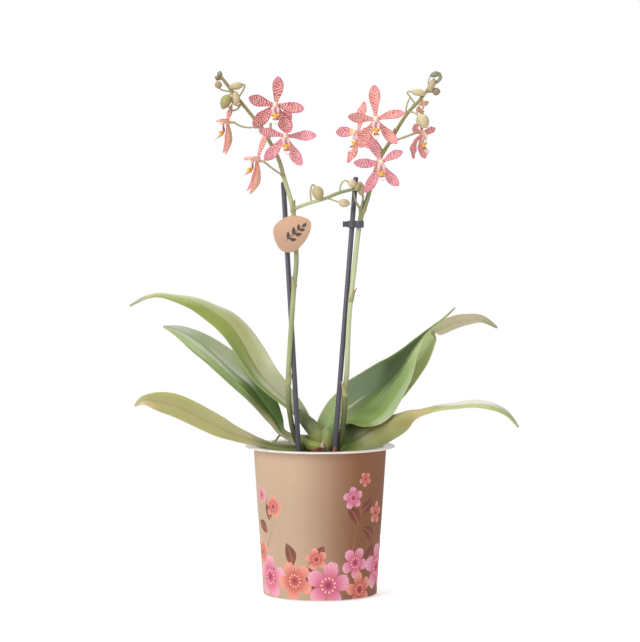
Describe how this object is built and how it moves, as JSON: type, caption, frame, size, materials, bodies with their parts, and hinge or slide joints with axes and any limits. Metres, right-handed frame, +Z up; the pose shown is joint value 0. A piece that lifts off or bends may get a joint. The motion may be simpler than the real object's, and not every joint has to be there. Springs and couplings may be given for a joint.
{
  "type": "potted moth orchid",
  "caption": "Moth orchid with arching flower stems, star-shaped striped pink blooms, long leathery leaves, support stakes and a rimmed pot in a card sleeve.",
  "frame": {"origin": "middle of the pot's foot, on the surface that it stands on", "axes": "+Z up along the pot's axis, front of the plant towards -Y, +X to its right as seen from the front"},
  "size_m": [0.3107, 0.1262, 0.4176],
  "materials": {
    "pot_plastic": "thin clear plastic, white at the rim",
    "sleeve_card": "matt kraft card with a printed pattern of blossoms",
    "crown_green": "smooth pale green leaf sheaths and greenish roots",
    "leaf_green": "leathery leaf with a soft sheen",
    "stem_green": "smooth olive stem",
    "stake_plastic": "satin dark grey plastic",
    "clip_plastic": "satin dark grey plastic",
    "tag_wood": "thin pale plywood, bare",
    "bark": "rough damp bark chips",
    "bloom_pink": "soft waxy petals with fine cream bars",
    "lip_yellow": "waxy yellow lip with dark red marks"
  },
  "bodies": {
    "root": {"grow_pot": "pot_plastic", "pot_sleeve": "sleeve_card", "crown": "crown_green", "leaf_left_top": "leaf_green", "leaf_left_middle": "leaf_green", "leaf_left_low": "leaf_green", "leaf_right_big": "leaf_green", "leaf_right_behind": "leaf_green", "leaf_right_low": "leaf_green", "spike_left": "stem_green", "spike_right": "stem_green", "stake_left": "stake_plastic", "stake_right": "stake_plastic", "stake_clip": "clip_plastic", "tag_clip": "clip_plastic", "tag": "tag_wood", "bark_mix": "bark", "bloom_1": "bloom_pink", "bloom_2": "bloom_pink", "bloom_3": "bloom_pink", "bloom_4": "bloom_pink", "bloom_5": "bloom_pink", "bloom_6": "bloom_pink", "bloom_7": "bloom_pink", "bloom_8": "bloom_pink", "bloom_9": "bloom_pink", "lip_1": "lip_yellow", "lip_2": "lip_yellow", "lip_3": "lip_yellow", "lip_4": "lip_yellow", "lip_5": "lip_yellow", "lip_6": "lip_yellow", "lip_7": "lip_yellow", "lip_8": "lip_yellow", "lip_9": "lip_yellow"}
  },
  "joints": []
}
